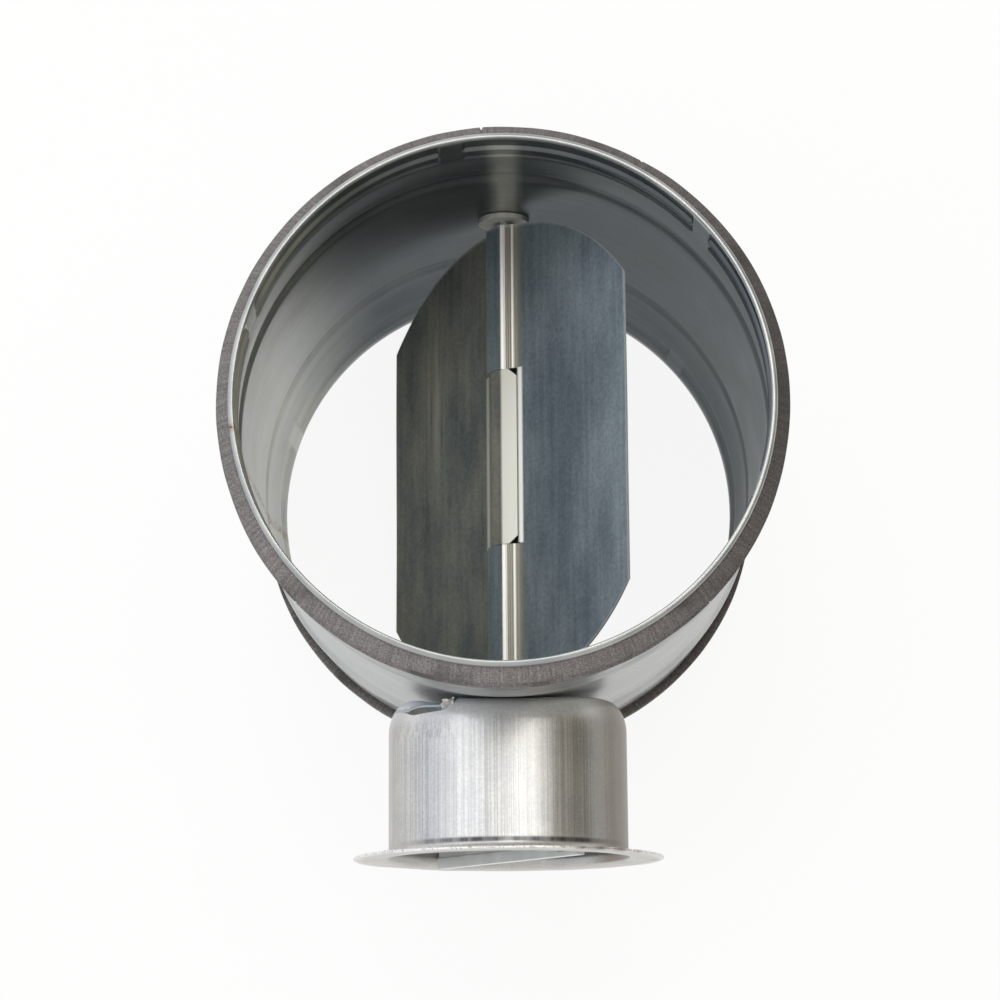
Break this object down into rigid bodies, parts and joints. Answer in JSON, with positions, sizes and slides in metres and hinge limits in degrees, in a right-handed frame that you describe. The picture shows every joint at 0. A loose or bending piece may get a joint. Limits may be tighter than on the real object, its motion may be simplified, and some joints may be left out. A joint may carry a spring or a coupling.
{
  "type": "manual duct damper",
  "caption": "Round duct damper with a two-leaf sheet-metal blade on a cross shaft, double lip seals at both ends and a flanged setting cup with a folded handle.",
  "frame": {"origin": "duct axis at the rear end plane, on which the part stands", "axes": "+Z along the duct axis towards the front end; the shaft runs along Y at z = 82.5 mm and the setting cup points to -Y; +X is to the right seen from the front with the cup below"},
  "size_m": [0.1648, 0.2156, 0.165],
  "materials": {
    "galvanised_sheet": "galvanised, dull",
    "blade_sheet": "galvanised, streaked",
    "control_sheet": "zinc plated",
    "seal_rubber": "matt, dusty",
    "bush_plastic": "matt",
    "zinc_plated": "zinc plated"
  },
  "bodies": {
    "duct": {"duct_shell": "galvanised_sheet", "rear_seal": "seal_rubber", "front_seal": "seal_rubber", "setting_cup": "galvanised_sheet", "cup_rivets": "zinc_plated", "upper_bush": "bush_plastic", "upper_bush_clip": "zinc_plated", "lower_bush": "bush_plastic", "bearing_nut": "bush_plastic", "shaft_seal": "seal_rubber", "lock_stud": "zinc_plated", "lock_washer": "zinc_plated", "spring_washer": "zinc_plated"},
    "blade": {"shaft": "zinc_plated", "blade_near_half": "blade_sheet", "blade_far_half": "blade_sheet", "shaft_clip": "zinc_plated", "quadrant_plate": "control_sheet", "handle": "control_sheet", "handle_rivets": "zinc_plated"},
    "nut": {"wing_nut": "zinc_plated"}
  },
  "joints": [
    {"name": "blade_turn", "type": "hinge", "parent": "duct", "child": "blade", "pos_m": [0, 0, 0.0825], "axis": [0, -1, 0], "range_deg": [-52, 38]},
    {"name": "nut_turn", "type": "hinge", "parent": "duct", "child": "nut", "pos_m": [0.01556, -0.095, 0.06694], "axis": [0, -1, 0], "range_deg": [0, 360]}
  ]
}
